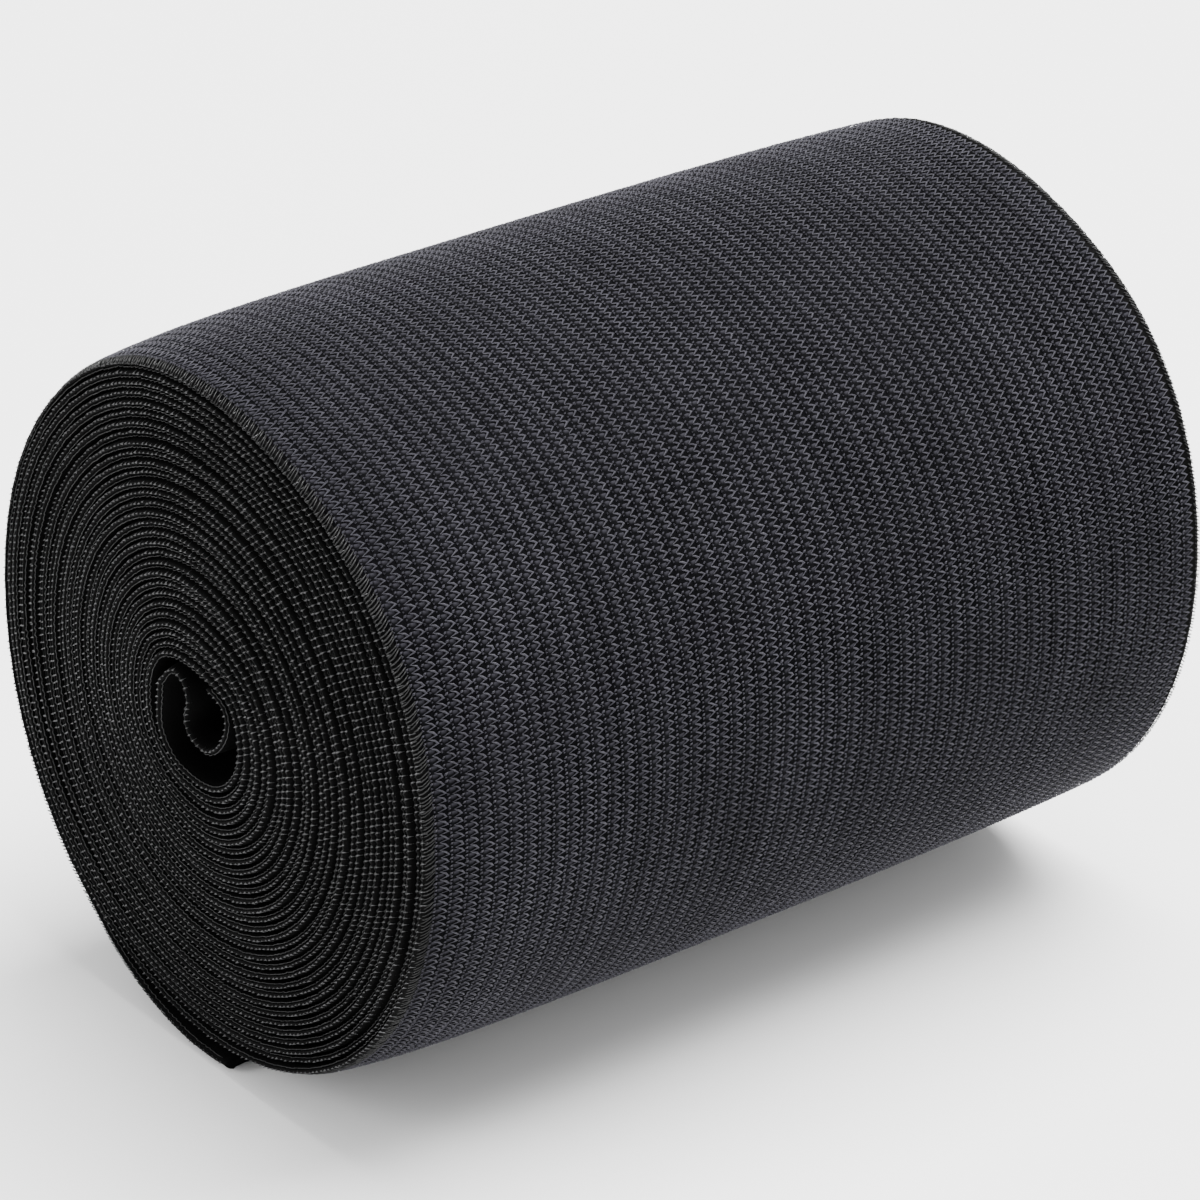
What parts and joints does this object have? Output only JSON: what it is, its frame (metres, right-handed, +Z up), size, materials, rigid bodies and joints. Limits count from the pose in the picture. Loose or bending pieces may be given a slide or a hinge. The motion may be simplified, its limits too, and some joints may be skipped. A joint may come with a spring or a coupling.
{
  "type": "roll of elastic",
  "caption": "Roll of wide ribbed knitted elastic wound on itself without a core, with a folded inner end and a loose outer end.",
  "frame": {"origin": "on the surface the roll lies on, under its axis, at the middle of the band's width", "axes": "+Z up, +Y along the roll's axis from its near end to its far end, so the near end faces -Y"},
  "size_m": [0.0785, 0.1016, 0.08],
  "materials": {
    "elastic": "near-black ribbed knit with a soft dull sheen"
  },
  "bodies": {
    "root": {"wound_band": "elastic", "loose_end": "elastic", "inner_end": "elastic"}
  },
  "joints": []
}
